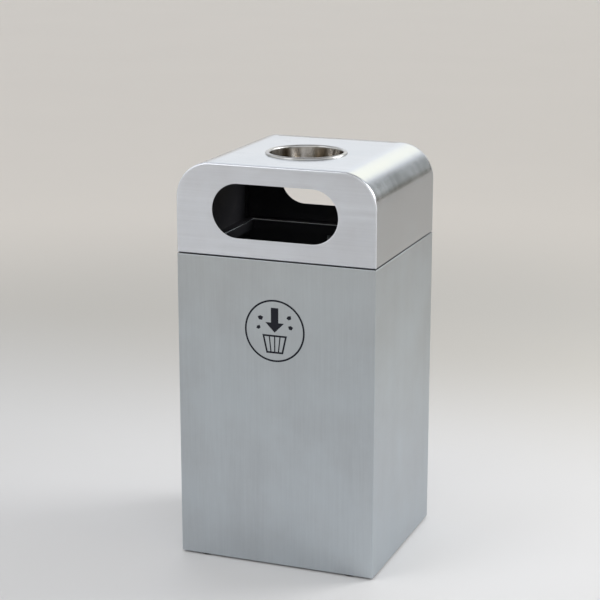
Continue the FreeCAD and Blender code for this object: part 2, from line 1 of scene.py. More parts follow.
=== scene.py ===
import json
import math

import bmesh
import bpy
import numpy as np
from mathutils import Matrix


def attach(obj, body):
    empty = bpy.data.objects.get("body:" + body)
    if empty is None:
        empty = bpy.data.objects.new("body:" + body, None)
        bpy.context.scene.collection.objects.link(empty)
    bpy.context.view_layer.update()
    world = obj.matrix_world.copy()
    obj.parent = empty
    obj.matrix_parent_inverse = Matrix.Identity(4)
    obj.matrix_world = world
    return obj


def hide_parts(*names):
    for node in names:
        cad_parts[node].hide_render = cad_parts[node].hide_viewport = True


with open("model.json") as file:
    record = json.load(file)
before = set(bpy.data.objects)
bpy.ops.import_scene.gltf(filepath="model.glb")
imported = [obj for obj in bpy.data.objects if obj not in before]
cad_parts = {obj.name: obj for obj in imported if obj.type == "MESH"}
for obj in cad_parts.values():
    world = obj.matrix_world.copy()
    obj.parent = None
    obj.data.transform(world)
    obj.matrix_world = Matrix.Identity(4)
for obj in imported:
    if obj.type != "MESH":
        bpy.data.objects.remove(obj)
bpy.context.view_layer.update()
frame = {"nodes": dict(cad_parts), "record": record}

# A litter bin of brushed stainless sheet: a folded casing on rubber feet, a lift-off hood with a
# slot at each end, an ash bowl in the roof and a galvanised liner. Lengths are millimetres here
# and are turned to metres when a mesh is made. +Z is up and the front faces -Y.

MM = 0.001

# Hood
WIDTH = 400.0
DEPTH = 355.0
SHEET = 1.2
HOOD_BASE = 612.7
HOOD_TOP = 789.0
HOOD_BEND = 69.0
FOLD = 2.0  # outside radius of the hood's folded lower edge
HOOD_LEDGE = 16.5  # width of the ledge at the foot of the hood
WRAP_END = 174.0  # half of the wrap's length
WRAP_EDGE = 0.25  # bevel on the wrap's cut edges
PANEL_BEND = 3.0  # outside radius of the bend round an end panel
PANEL_EDGE = 3.2  # depth at which the panel steps in under the wrap
PANEL_CORNER = 1.5
PANEL_RETURN = 22.0  # depth of the return behind the face
PANEL_SOFT = 0.3  # rounding of the panel's cut edges
PANEL_STEP = 0.12  # rounding where the panel steps in
PANEL_BEND_IN = (0.2, 0.6)  # insets of the two rings that round the bend's inner side
UNDER_WRAP = 1.25  # how far the return lies inside the hood's outline
LEDGE_GAP = 1.0  # how far the panel's ledge stops short of the mouth's side
LEDGE_SOFT = 0.25
SLOT_SIZE = (252.0, 104.0)
SLOT_Z = 701.0
BOWL_HOLE = 73.5
BOWL_OPENING = 71.5
BOWL_FLAT = (48.0, 62.0)  # radii between which the floor's finish gives way to the wall's
BOWL_RIM = (-1.0, 0.5)  # start and full strength of the rim's finish, from the opening
BOWL_RIM_DROP = 2.0  # how far below the roof the rim's finish begins
BOWL_Y = -10.0

# Casing
CASING_TOP = 611.2
MOUTH_WIDTH = 364.6
# Painted shade: a dark line on the casing's top bend, in the joint under the hood, darkens the
# bend's reflection.
JOINT_SHADE_WIDTH = 4.0  # width of the painted shade line in the joint under the hood
JOINT_SHADE_DROP = (1.6, 0.5)  # start and full strength of the painted shade, below the casing's top
JOINT_SHADE_STRENGTH = 0.85

# Liner
LINER_SIZE = (340.0, 295.0)
LINER_CORNER = 30.0
LINER_SHEET = 0.9
LINER_BASE = 36.5
LINER_TOP = 556.0
RIM_RADIUS = 3.5
BEAD_HEIGHTS = (150.0, 440.0)  # swaged stiffening beads
BEAD_SIZE = (9.0, 1.8)  # half height and depth
SEAM_FOLD = (8.0, 1.0)  # width and how far it stands proud
SEAM_SHORT = 4.0  # how far the seam stops short of each end of the wall
SEAM_SOFT = 0.4

# Points
FLAT_GAP = 3.0  # distance between points along a flat of the hood's outline
FOLD_HOLD = 0.5  # distance of a holding point from the end of a fold's arc
FLAT_HOLD = 0.6  # the same for the hood's outline
BEND_HOLD = 1.5  # the same for the wrap's large bend
WALL_HOLD = 1.0  # the same for the liner's wall
SMALLEST_ARC = 0.05
WELD = 1e-6  # metres
SHARP_SHEET = 35.0  # degrees between faces that keep a sharp edge
SHARP_PRESSED = 40.0

# Camera
CAMERA_PLACE = (1.1927, -3.1355, 1.3667)
CAMERA_TURN = math.radians(21.1)  # to the left of straight ahead
CAMERA_DIP = math.radians(14.59)  # below level
CAMERA_LENS = 105.27  # mm, like the sensor's width
CAMERA_SENSOR = 36.0

# Colours are linear red, green and blue. A finish of brushed sheet is the stretch of its grain,
# a dark and a light colour, and the range of its roughness.
CASING_FINISH = ((260.0, 260.0, 8.0), (0.445, 0.476, 0.503), (0.59, 0.628, 0.655), (0.26, 0.38))
WRAP_FINISH = ((260.0, 3.0, 1.0), (0.47, 0.49, 0.515), (0.55, 0.57, 0.595), (0.15, 0.23))
PANEL_FINISH = ((4.0, 40.0, 240.0), (0.605, 0.623, 0.665), (0.765, 0.783, 0.828), (0.28, 0.4))
COOL_TINT = (0.86, 0.93, 0.98)  # what a cloudy patch of handling makes of the light colour
# Inside the hood and the casing a dark colour stands for the shade there: painted shade.
INSIDE_SHADE_COLOUR = (0.02, 0.02, 0.024)
INSIDE_SHADE_ROUGH = (0.42, 0.6)
INSIDE_SHADE_DUST = (0.06, 0.058, 0.055)
# Painted shade for the joint under the hood.
JOINT_PAINTED_SHADE = (0.03, 0.028, 0.026)
# Bowl streaks: brown ash film and clean metal, which also paint in the wall's streaked
# reflections.
ASH_AND_REFLECTION_DARK_STREAK = (0.1, 0.078, 0.055)
CLEAN_AND_REFLECTION_BRIGHT_STREAK = (0.8, 0.79, 0.78)
BOWL_FLOOR = ((0.27, 0.24, 0.2), (0.52, 0.5, 0.47))
ASH_CLOUD = (0.26, 0.22, 0.16)
RIM_COLOUR = (0.42, 0.42, 0.42)
DULL_SHARE = 0.7  # tone of plated metal where it is handled
RUBBER = (0.014, 0.014, 0.015)
RUBBER_BLOOM = (0.055, 0.053, 0.05)
INK = (0.005, 0.006, 0.013)
INK_DUST = (0.012, 0.014, 0.026)

# Floor and room
FLOOR_RADII = (0.0, 0.5, 2.0, 6.0, 14.0, 26.0)  # metres
FLOOR_SIDES = 96
# The floor is lighter close to the bin: a painted pool of light.
FLOOR_NEAR_PAINTED_LIGHT = (0.7, 0.7, 0.71)
FLOOR_MIDDLE = (0.62, 0.62, 0.62)
FLOOR_BEHIND = (0.52, 0.505, 0.475)
FLOOR_FAR = (0.72, 0.68, 0.63)
FLOOR_CLOUD = (0.5, 0.47, 0.44)
ROOM_TAN = (0.5, 0.44, 0.37)
ROOM_BRIGHT = (1.3, 1.33, 1.37)
ROOM_CEILING = (0.78, 0.8, 0.84)
ROOM_LIT = (1.87, 1.84, 1.55)
ROOM_DARK = (0.05, 0.06, 0.045)
ROOM_BEAM = (0.16, 0.11, 0.065)
LAMP_COLOUR = (1.0, 0.99, 0.97)


def make_camera():
    """The view from the front and the right, a little from above."""
    data = bpy.data.cameras.new("camera")
    data.sensor_width = CAMERA_SENSOR
    data.lens = CAMERA_LENS
    data.clip_end = 60.0
    camera = bpy.data.objects.new("camera", data)
    camera.location = CAMERA_PLACE
    camera.rotation_euler = (math.pi / 2 - CAMERA_DIP, 0.0, CAMERA_TURN)
    bpy.context.collection.objects.link(camera)
    bpy.context.scene.camera = camera


# ------------------------------------------------------------------ outlines


def fold_path(corners, radii, steps, hold):
    """A folded line in the plane as (n, 2) points.

    Straight runs join the corner points. At a corner turned through the angle f with radius r the
    arc starts r tan(f/2) before it, and its points are centre - n r cos t + a r sin t for t from
    0 to f, where a is the direction of arrival and n points to the centre of the turn. A holding
    point lies beside each end of an arc, so that the flats keep their own direction of shine.
    """
    corners = np.asarray(corners, float)
    points = [corners[0]]
    for here, before, after, radius in zip(corners[1:-1], corners, corners[2:], radii):
        arrive = (here - before) / np.linalg.norm(here - before)
        leave = (after - here) / np.linalg.norm(after - here)
        turn = math.acos(np.clip(arrive @ leave, -1.0, 1.0))
        toward = leave - arrive * (arrive @ leave)
        toward = toward / np.linalg.norm(toward)
        reach = radius * math.tan(turn / 2)
        start = here - arrive * reach
        t = np.linspace(0.0, turn, steps + 1)[:, None]
        arc = start + toward * radius * (1 - np.cos(t)) + arrive * radius * np.sin(t)
        points.extend([start - arrive * hold, *arc, here + leave * (reach + hold)])
    points.append(corners[-1])
    return np.array(points)


def arch_ring(inset):
    """The hood's end outline set in by inset, as a closed ring of (x, z) points.

    Flats and arcs keep their number of points whatever the inset, since each arc is its centre
    plus the radius less the inset along the same directions.
    """
    small, large = 6, 36  # steps of an arc
    bends = (
        (-1, HOOD_BASE, PANEL_CORNER, 180.0, 270.0, small),
        (1, HOOD_BASE, PANEL_CORNER, 270.0, 360.0, small),
        (1, HOOD_TOP, HOOD_BEND, 0.0, 90.0, large),
        (-1, HOOD_TOP, HOOD_BEND, 90.0, 180.0, large),
    )
    arcs = []
    for side, edge, radius, start, stop, steps in bends:
        left = max(radius - inset, SMALLEST_ARC)
        inward = 1 if edge == HOOD_BASE else -1
        centre = np.array([side * (WIDTH / 2 - inset - left), edge + inward * (inset + left)])
        t = np.radians(np.linspace(start, stop, steps + 1))
        arcs.append(centre + left * np.stack([np.cos(t), np.sin(t)], axis=1))
    runs = []
    upright = HOOD_TOP - HOOD_BASE - HOOD_BEND
    lengths = (WIDTH, upright, WIDTH - 2 * HOOD_BEND, upright)
    for arc, following, length in zip(arcs, arcs[1:] + arcs[:1], lengths):
        inner = np.linspace(0.0, 1.0, int(length / FLAT_GAP) + 1)[1:-1]
        near = FLAT_HOLD / length
        share = np.concatenate([[near], inner, [1 - near]])[:, None]
        runs.extend([arc, arc[-1] + (following[0] - arc[-1]) * share])
    return np.vstack(runs)


def slot_ring(directions, extra):
    """The slot's long outline at the given directions from its centre, grown by extra.

    Along the direction (c, s) the straight side is at h/s, and the half-round end is at
    p c + sqrt(h^2 - p^2 s^2), where h is half the height and p the end's centre.
    """
    half = SLOT_SIZE[1] / 2 + extra
    centre = SLOT_SIZE[0] / 2 - SLOT_SIZE[1] / 2
    c, s = np.abs(directions[:, 0]), np.abs(directions[:, 1])
    straight = half / np.maximum(s, 1e-9)
    round_end = centre * c + np.sqrt(np.maximum(half**2 - (centre * s) ** 2, 0.0))
    reach = np.where(straight * c <= centre, straight, round_end)
    return directions * reach[:, None] + (0.0, SLOT_Z)


# ------------------------------------------------------------------ meshes


def grid_faces(rows, columns, close_rows=False, close_columns=False):
    """Four-sided faces of a grid of points, as indices into the flattened grid."""
    r = np.arange(rows if close_rows else rows - 1)
    c = np.arange(columns if close_columns else columns - 1)
    r, c = [a.ravel() for a in np.meshgrid(r, c, indexing="ij")]
    r1, c1 = (r + 1) % rows, (c + 1) % columns
    corners = (r * columns + c, r * columns + c1, r1 * columns + c1, r1 * columns + c)
    return np.stack(corners, axis=1)


def piece_mesh(name, grids, finish=None, sharp=SHARP_SHEET):
    """A mesh from (points, faces, material row, uv) grids, welded, finished and made smooth.

    A closed mesh is turned so that its faces look outwards, which a negative volume tells.
    The finish is a list of modifiers, as (kind, settings), that are applied at once. They need a
    slot for each material row, so two empty slots come first.
    """
    points = np.concatenate([g[0].reshape(-1, 3) for g in grids]) * MM
    start = np.cumsum([0] + [g[0].size // 3 for g in grids])
    faces = np.concatenate([g[1] + s for g, s in zip(grids, start)])
    marks = np.concatenate([np.broadcast_to(g[2], len(g[1])) for g in grids]).astype(np.int32)
    mesh = bpy.data.meshes.new(name)
    mesh.from_pydata(points, [], faces)
    mesh.polygons.foreach_set("material_index", marks)
    if grids[0][3] is not None:
        uv = np.concatenate([g[3].reshape(-1, 2) for g in grids]) * MM
        layer = mesh.uv_layers.new(name="sheet")
        layer.data.foreach_set("uv", uv[faces.ravel()].ravel().astype(np.float32))
    work = bmesh.new()
    work.from_mesh(mesh)
    bmesh.ops.remove_doubles(work, verts=work.verts, dist=WELD)
    if not finish and work.calc_volume(signed=True) < 0:
        bmesh.ops.reverse_faces(work, faces=work.faces)
    work.to_mesh(mesh)
    work.free()
    if finish:
        mesh.materials.append(None)
        mesh.materials.append(None)
        rough = bpy.data.objects.new(name + "_rough", mesh)
        bpy.context.collection.objects.link(rough)
        for kind, settings in finish:
            modifier = rough.modifiers.new(kind.lower(), kind)
            for key, value in settings.items():
                setattr(modifier, key, value)
        made = rough.evaluated_get(bpy.context.evaluated_depsgraph_get())
        mesh = bpy.data.meshes.new_from_object(made)
        mesh.name = name
        bpy.data.objects.remove(rough)
    mesh.shade_smooth()
    mesh.set_sharp_from_angle(angle=math.radians(sharp))
    return mesh


def add_piece(name, mesh, body, materials, replaced):
    """A piece at the origin that rides on its body and takes the place of CAD nodes."""
    piece = bpy.data.objects.new(name, mesh)
    bpy.context.collection.objects.link(piece)
    for index, material in enumerate(materials):
        if index < len(mesh.materials):
            mesh.materials[index] = material
        else:
            mesh.materials.append(material)
    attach(piece, body)
    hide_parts(*replaced)


def hood_wrap_mesh():
    """The sheet over the top and both sides of the hood.

    Each side is the folded section (ledge, fold, wall, large bend) carried along y. The flat roof
    is a fan of straight rays from the bowl's hole to the edges of the flat. The wall's thickness
    is grown inwards.
    """
    fold_steps, bend_steps, rows_along, rows_across, roof_rings = 6, 40, 59, 45, 9
    half, flat = WIDTH / 2, WIDTH / 2 - HOOD_BEND
    ledge = half - SHEET - HOOD_LEDGE
    corners = [(ledge, HOOD_BASE), (half, HOOD_BASE), (half, HOOD_TOP - HOOD_BEND)]
    section = fold_path(corners, [FOLD], fold_steps, FOLD_HOLD)
    t = np.radians(np.linspace(0.0, 90.0, bend_steps + 1))[:, None]
    bend = (flat, HOOD_TOP - HOOD_BEND) + HOOD_BEND * np.hstack([np.cos(t), np.sin(t)])
    section = np.vstack([section[:-1], bend[:1] - (0.0, BEND_HOLD), bend])
    along = np.r_[0.0, np.cumsum(np.linalg.norm(np.diff(section, axis=0), axis=1))]
    y = np.linspace(-WRAP_END, WRAP_END, rows_along)
    grids = []
    for side in (-1, 1):
        x, rows = np.meshgrid(side * section[:, 0], y, indexing="ij")
        z = np.broadcast_to(section[:, 1][:, None], x.shape)
        points = np.stack([x, rows, z], axis=-1)
        faces = grid_faces(*x.shape)
        path = np.broadcast_to(side * (along - along[-1] - flat)[:, None], x.shape)
        uv = np.stack([rows, path], axis=-1)
        grids.append((points, faces if side > 0 else faces[:, ::-1], 0, uv))
    x = np.linspace(-flat, flat, rows_across)
    edge = np.vstack(
        [
            np.stack([np.full(len(y), flat), y], axis=1)[:-1],
            np.stack([x[::-1], np.full(len(x), WRAP_END)], axis=1)[:-1],
            np.stack([np.full(len(y), -flat), y[::-1]], axis=1)[:-1],
            np.stack([x, np.full(len(x), -WRAP_END)], axis=1)[:-1],
        ]
    )
    centre = np.array([0.0, BOWL_Y])
    ray = edge - centre
    hole = centre + ray / np.linalg.norm(ray, axis=1)[:, None] * BOWL_HOLE
    share = np.linspace(0.0, 1.0, roof_rings)[:, None, None]
    flat_xy = hole + (edge - hole) * share
    roof = np.concatenate([flat_xy, np.full((*flat_xy.shape[:2], 1), HOOD_TOP)], axis=-1)
    uv = np.stack([flat_xy[..., 1], -flat_xy[..., 0]], axis=-1)
    faces = grid_faces(*flat_xy.shape[:2], close_columns=True)
    grids.append((roof, faces[:, ::-1], 0, uv))
    # The grown inner side takes the second material, the painted shade inside the hood.
    thicken = {"thickness": SHEET * MM, "offset": -1.0, "material_offset": 1}
    soften = {"width": WRAP_EDGE * MM, "segments": 2, "angle_limit": math.radians(50)}
    return piece_mesh("hood_wrap", grids, [("SOLIDIFY", thicken), ("BEVEL", soften)])


def hood_panel_mesh(name, end):
    """An end panel: a flat face with a slot, a small bend all round and a return.

    Every row of points is a ring round the panel. The rows go from the slot's edge over the face,
    round the bend, back along the return and home along the inside of the sheet.
    """
    bend_steps = 9
    face = arch_ring(PANEL_BEND)
    toward = face - (0.0, SLOT_Z)
    toward = toward / np.linalg.norm(toward, axis=1)[:, None]
    rows = []

    def ring(outline, behind):
        """A new row: the outline at a depth behind the face."""
        y = np.full(len(outline), end * (DEPTH / 2 - behind))
        rows.append(np.stack([outline[:, 0], y, outline[:, 1]], axis=1))

    soft, bulge = PANEL_SOFT, 0.3 * PANEL_SOFT
    over_face, over_inside = (0.03, 0.3, 0.6, 0.97), (1.0, 0.5, 0.02)
    slot = slot_ring(toward, 0.0)
    slot_bulge = slot_ring(toward, bulge)
    slot_wide = slot_ring(toward, soft)
    ring(slot, SHEET / 2)
    ring(slot, soft)
    ring(slot_bulge, bulge)
    ring(slot_wide, 0.0)
    for share in over_face:
        ring(slot_wide + (face - slot_wide) * share, 0.0)
    for t in np.radians(np.linspace(0.0, 90.0, bend_steps + 1)):
        inset = PANEL_BEND * (1 - math.sin(t))
        ring(arch_ring(inset), PANEL_BEND * (1 - math.cos(t)))
    ring(arch_ring(0.0), PANEL_EDGE - PANEL_STEP)
    ring(arch_ring(PANEL_STEP), PANEL_EDGE)
    outside = len(rows)
    inside = 2 * SHEET  # inset of the return's inner side
    ring(arch_ring(UNDER_WRAP), PANEL_EDGE)
    ring(arch_ring(UNDER_WRAP), PANEL_RETURN - soft)
    ring(arch_ring(UNDER_WRAP + soft), PANEL_RETURN)
    ring(arch_ring(inside - soft), PANEL_RETURN)
    ring(arch_ring(inside), PANEL_RETURN - soft)
    ring(arch_ring(inside), PANEL_BEND)
    ring(arch_ring(inside + PANEL_BEND_IN[0]), SHEET + PANEL_BEND_IN[0])
    inner = arch_ring(inside + PANEL_BEND_IN[1])
    for share in over_inside:
        ring(slot_wide + (inner - slot_wide) * share, SHEET)
    ring(slot_wide, SHEET)
    ring(slot_bulge, SHEET - bulge)
    ring(slot, SHEET - soft)
    points = np.array(rows)
    faces = grid_faces(*points.shape[:2], close_rows=True, close_columns=True)
    # Rows inside the sheet take the second material, the painted shade inside the hood; so does
    # the ledge below.
    marks = (faces[:, 0] // points.shape[1] >= outside).astype(int)
    if end > 0:
        faces = faces[:, ::-1]
    near, far = DEPTH / 2 - PANEL_BEND, DEPTH / 2 - SHEET - HOOD_LEDGE
    y, z = (near * end, far * end), (HOOD_BASE, HOOD_BASE + SHEET)
    ledge = bar_grid(MOUTH_WIDTH / 2 - LEDGE_GAP, y, z, LEDGE_SOFT)
    return piece_mesh(name, [(points, faces, marks, None), ledge], sharp=SHARP_PRESSED)


def bar_grid(half, y, z, soft):
    """A flat bar along x with softened long edges, as one closed grid.

    Its section is a rectangle whose corners are cut by soft. The rings near the two ends are
    drawn in a little, and the last ring at each end shrinks to the section's middle.
    """
    y0, y1 = sorted(y)
    z0, z1 = sorted(z)
    section = np.array(
        [
            (y0 + soft, z0),
            (y1 - soft, z0),
            (y1, z0 + soft),
            (y1, z1 - soft),
            (y1 - soft, z1),
            (y0 + soft, z1),
            (y0, z1 - soft),
            (y0, z0 + soft),
        ]
    )
    middle = section.mean(axis=0)
    ends = np.array([(-half, 0.0), (-half, 0.9), (-half + soft, 1.0)])
    stations = np.vstack([ends, ends[::-1] * (-1, 1)])
    sections = middle + (section - middle) * stations[:, 1][:, None, None]
    x = np.broadcast_to(stations[:, 0][:, None], sections.shape[:2])
    points = np.concatenate([x[..., None], sections], axis=-1)
    faces = grid_faces(*points.shape[:2], close_columns=True)
    return points, faces[:, ::-1], 1, None


def rounded_ring(half_x, half_y, radius):
    """A closed ring of (x, y) points round a rectangle whose corners are arcs.

    Each arc is its centre plus the radius along directions from 0 to 90 degrees, turned by a
    quarter for each corner. Points beside the arcs and along the sides hold the flats.
    """
    arc_steps = 12
    t = np.radians(np.linspace(0.0, 90.0, arc_steps + 1))
    arcs = []
    for k, (sx, sy) in enumerate(((1, 1), (-1, 1), (-1, -1), (1, -1))):
        turn = t + k * math.pi / 2
        centre = np.array([sx * (half_x - radius), sy * (half_y - radius)])
        arcs.append(centre + radius * np.stack([np.cos(turn), np.sin(turn)], axis=1))
    share = np.array([0.006, 0.2, 0.4, 0.6, 0.8, 0.994])[:, None]
    runs = []
    for arc, following in zip(arcs, arcs[1:] + arcs[:1]):
        runs.extend([arc, arc[-1] + (following[0] - arc[-1]) * share])
    return np.vstack(runs)


def liner_mesh():
    """The liner's wall with two swaged beads, a rim rolled over its wire and a seam at the back.

    A closed section of (outward, up) points is swept round the rounded rectangle: a point
    that lies d outside the wall takes the ring whose half sizes and corner radius grow by d. A
    bead is the wall pushed out by depth cos^2 over its height.
    """
    bead_steps, roll_steps = 12, 24
    rise, depth = BEAD_SIZE
    lean = np.linspace(-1.0, 1.0, bead_steps + 1)
    beads = [
        np.stack([depth * np.cos(lean * math.pi / 2) ** 2, middle + rise * lean], axis=1)
        for middle in BEAD_HEIGHTS
    ]
    roll_out = RIM_RADIUS - LINER_SHEET
    start = math.atan2(-math.sqrt(RIM_RADIUS**2 - roll_out**2), -roll_out)
    t = np.linspace(start, math.pi, roll_steps + 1)
    roll = np.stack(
        [roll_out + RIM_RADIUS * np.cos(t), LINER_TOP + RIM_RADIUS * np.sin(t)], axis=1
    )
    foot = [(0.0, LINER_BASE), (0.0, LINER_BASE + WALL_HOLD)]
    outer = np.vstack([foot, *beads, [(0.0, roll[0, 1] - WALL_HOLD)]])
    inner = (outer - (LINER_SHEET, 0.0))[::-1]
    half_x, half_y = LINER_SIZE[0] / 2, LINER_SIZE[1] / 2
    rows = []
    for out, height in np.vstack([outer, roll, inner]):
        ring = rounded_ring(half_x + out, half_y + out, LINER_CORNER + out)
        rows.append(np.column_stack([ring, np.full(len(ring), height)]))
    points = np.array(rows)
    faces = grid_faces(*points.shape[:2], close_rows=True, close_columns=True)
    width, proud = SEAM_FOLD
    half = (LINER_TOP - LINER_BASE) / 2 - SEAM_SHORT
    across, through = (-width / 2, width / 2), (half_y - LINER_SHEET / 2, half_y + proud)
    seam, seam_faces = bar_grid(half, across, through, SEAM_SOFT)[:2]
    upright = seam[..., (1, 2, 0)] + (0.0, 0.0, (LINER_TOP + LINER_BASE) / 2)
    grids = [(points, faces[:, ::-1], 0, None), (upright, seam_faces, 0, None)]
    return piece_mesh("liner_wall", grids, sharp=SHARP_PRESSED)


# ------------------------------------------------------------------ node tools


def feed(tree, target, source):
    """Sets an input to a plain value, or links it to a socket."""
    if isinstance(source, bpy.types.NodeSocket):
        tree.links.new(source, target)
    else:
        target.default_value = source


def add(tree, kind, inputs=None, **settings):
    """A new node with its settings and its inputs, which are plain values or sockets."""
    node = tree.nodes.new(kind)
    for name, value in settings.items():
        setattr(node, name, value)
    for name, value in (inputs or {}).items():
        feed(tree, node.inputs[name], value)
    return node


def number(tree, operation, *values):
    """The result of a Math node."""
    node = add(tree, "ShaderNodeMath", dict(enumerate(values)), operation=operation)
    return node.outputs[0]


def vector(tree, operation, *values):
    """The result of a Vector Math node, which is a number for a length."""
    node = add(tree, "ShaderNodeVectorMath", dict(enumerate(values)), operation=operation)
    return node.outputs["Value" if operation == "LENGTH" else "Vector"]


def separate(tree, place):
    """The x, y and z of a vector, as three sockets."""
    return add(tree, "ShaderNodeSeparateXYZ", {"Vector": place}).outputs


def combine(tree, **axes):
    """A vector from the given axes, with zero for the others."""
    return add(tree, "ShaderNodeCombineXYZ", axes).outputs[0]


def spread(tree, value, low, high, to_low=0.0, to_high=1.0, smooth=False):
    """The value moved from the range low..high to another range, and held inside it."""
    kind = "SMOOTHSTEP" if smooth else "LINEAR"
    inputs = dict(enumerate((value, low, high, to_low, to_high)))
    node = add(tree, "ShaderNodeMapRange", inputs, interpolation_type=kind)
    return node.outputs["Result"]


def noise(tree, place, scale, detail=2.0, roughness=0.5):
    """Fractal noise from about 0 to 1, with its scale in patches per unit of the place."""
    inputs = {"Vector": place, "Scale": scale, "Detail": detail, "Roughness": roughness}
    return add(tree, "ShaderNodeTexNoise", inputs).outputs["Fac"]


def tint(tree, share, first, second):
    """A mix of two colours. Inputs 0, 6 and 7 and output 2 are the node's colour sockets."""
    node = add(tree, "ShaderNodeMix", data_type="RGBA")
    first, second = [(*c, 1.0) if isinstance(c, tuple) else c for c in (first, second)]
    for index, source in ((0, share), (6, first), (7, second)):
        feed(tree, node.inputs[index], source)
    return node.outputs[2]


def bump(tree, height, strength, distance):
    """A normal from a height, with the distance in metres."""
    inputs = {"Strength": strength, "Distance": distance, "Height": height}
    return add(tree, "ShaderNodeBump", inputs).outputs["Normal"]


def here(tree):
    """The place in the piece's own axes, in metres."""
    return tree.nodes.new("ShaderNodeTexCoord").outputs["Object"]


def new_group(name, inputs, outputs):
    """An empty node group with named sockets, and its own input and output nodes."""
    tree = bpy.data.node_groups.new(name, "ShaderNodeTree")
    for label, value in inputs.items():
        kind = "NodeSocketFloat" if isinstance(value, float) else "NodeSocketVector"
        tree.interface.new_socket(label, in_out="INPUT", socket_type=kind).default_value = value
    for label in outputs:
        tree.interface.new_socket(label, in_out="OUTPUT", socket_type="NodeSocketFloat")
    entry = tree.nodes.new("NodeGroupInput")
    return tree, entry.outputs, tree.nodes.new("NodeGroupOutput").inputs


def place_group(tree, group, inputs):
    """A use of a shared effect, and its outputs."""
    node = tree.nodes.new("ShaderNodeGroup")
    node.node_tree = group
    for name, value in inputs.items():
        feed(tree, node.inputs[name], value)
    return node.outputs


def new_material(name, **constants):
    """A material whose Principled BSDF has its plain values set on its own sockets."""
    material = bpy.data.materials.new(name)
    material.use_nodes = True
    tree = material.node_tree
    shader = tree.nodes["Principled BSDF"].inputs
    for key, value in constants.items():
        shader[key.replace("_", " ")].default_value = value
    return material, tree, shader


# ------------------------------------------------------------------ shared effects


def hairline_grain():
    """Long scratches of a belt-brushed sheet.

    The place is multiplied by a stretch that is high across the grain and low along it. One noise
    with many octaves gives the lines, and the same place at a small part of the stretch gives
    the broad streaks.
    """
    tree, entry, leave = new_group(
        "hairline grain", {"Place": (0.0,) * 3, "Stretch": (1.0,) * 3}, ("Lines", "Streaks")
    )
    fine = vector(tree, "MULTIPLY", entry["Place"], entry["Stretch"])
    lines = noise(tree, fine, 1.0, 6.0, 0.68)
    broad = vector(tree, "MULTIPLY", fine, (0.07,) * 3)
    streaks = noise(tree, broad, 1.0, 3.0, 0.55)
    feed(tree, leave["Lines"], spread(tree, lines, 0.25, 0.75))
    feed(tree, leave["Streaks"], spread(tree, streaks, 0.25, 0.75))
    return tree


def handling_film():
    """Cloudy patches of handling, and small marks left by drops and fingers."""
    tree, entry, leave = new_group(
        "handling film", {"Place": (0.0,) * 3, "Size": 0.15}, ("Cloud", "Marks")
    )
    scale = number(tree, "DIVIDE", 1.0, entry["Size"])
    cloud = noise(tree, entry["Place"], scale, 5.0, 0.62)
    shift = vector(tree, "ADD", entry["Place"], (3.1, 1.7, 5.3))
    small = noise(tree, shift, number(tree, "MULTIPLY", scale, 5.0), 4.0, 0.6)
    feed(tree, leave["Cloud"], spread(tree, cloud, 0.3, 0.7, smooth=True))
    feed(tree, leave["Marks"], spread(tree, small, 0.56, 0.74, smooth=True))
    return tree


def zinc_spangle():
    """Crystal patches of hot-dip zinc: each Voronoi cell has its own shade and thin borders."""
    tree, entry, leave = new_group(
        "zinc spangle", {"Place": (0.0,) * 3, "Size": 0.012}, ("Shade", "Border")
    )
    scale = number(tree, "DIVIDE", 1.0, entry["Size"])
    wobble = noise(tree, entry["Place"], number(tree, "MULTIPLY", scale, 1.5), 2.0)
    moved = vector(tree, "ADD", entry["Place"], vector(tree, "MULTIPLY", wobble, (0.004,) * 3))
    inputs = {"Vector": moved, "Scale": scale}
    cells = add(tree, "ShaderNodeTexVoronoi", inputs)
    shade = add(tree, "ShaderNodeSeparateColor", {"Color": cells.outputs["Color"]})
    edge = add(tree, "ShaderNodeTexVoronoi", inputs, feature="DISTANCE_TO_EDGE")
    feed(tree, leave["Shade"], shade.outputs[0])
    feed(tree, leave["Border"], spread(tree, edge.outputs["Distance"], 0.0, 0.06, 1.0, 0.0))
    return tree


def fine_texture():
    """A small even roughness, and sparse dust, for rubber, ink and the painted shade inside the
    hood.
    """
    tree, entry, leave = new_group(
        "fine texture", {"Place": (0.0,) * 3, "Size": 0.001}, ("Grain", "Dust")
    )
    scale = number(tree, "DIVIDE", 1.0, entry["Size"])
    feed(tree, leave["Grain"], noise(tree, entry["Place"], scale, 3.0, 0.6))
    wide = noise(tree, entry["Place"], number(tree, "MULTIPLY", scale, 0.04), 5.0, 0.7)
    feed(tree, leave["Dust"], spread(tree, wide, 0.45, 0.75, smooth=True))
    return tree


GRAIN = hairline_grain()
FILM = handling_film()
SPANGLE = zinc_spangle()
TEXTURE = fine_texture()


def brushed_surface(tree, place, stretch, dark, light, rough):
    """Hairlines, streaks and film on a metal sheet, as colour, roughness and normal sockets.

    The shade between dark and light is 0.42 lines, 0.22 streaks and 0.36 cloud.
    """
    grain = place_group(tree, GRAIN, {"Place": place, "Stretch": stretch})
    film = place_group(tree, FILM, {"Place": place, "Size": 0.17})
    shade = number(tree, "MULTIPLY", grain["Lines"], 0.42)
    shade = number(tree, "MULTIPLY_ADD", grain["Streaks"], 0.22, shade)
    shade = number(tree, "MULTIPLY_ADD", film["Cloud"], 0.36, shade)
    colour = tint(tree, shade, dark, light)
    cool = tuple(c * t for c, t in zip(light, COOL_TINT))
    colour = tint(tree, number(tree, "MULTIPLY", film["Cloud"], 0.22), colour, cool)
    rough = spread(tree, grain["Lines"], 0.0, 1.0, *rough)
    rough = number(tree, "MULTIPLY_ADD", film["Cloud"], 0.05, rough)
    rough = number(tree, "MULTIPLY_ADD", film["Marks"], 0.03, rough)
    return colour, rough, bump(tree, grain["Lines"], 0.12, 0.00003)


def finish_shader(tree, shader, colour, roughness, normal):
    """Links colour, roughness and normal to the shader."""
    feed(tree, shader["Base Color"], colour)
    feed(tree, shader["Roughness"], roughness)
    feed(tree, shader["Normal"], normal)


# ------------------------------------------------------------------ materials


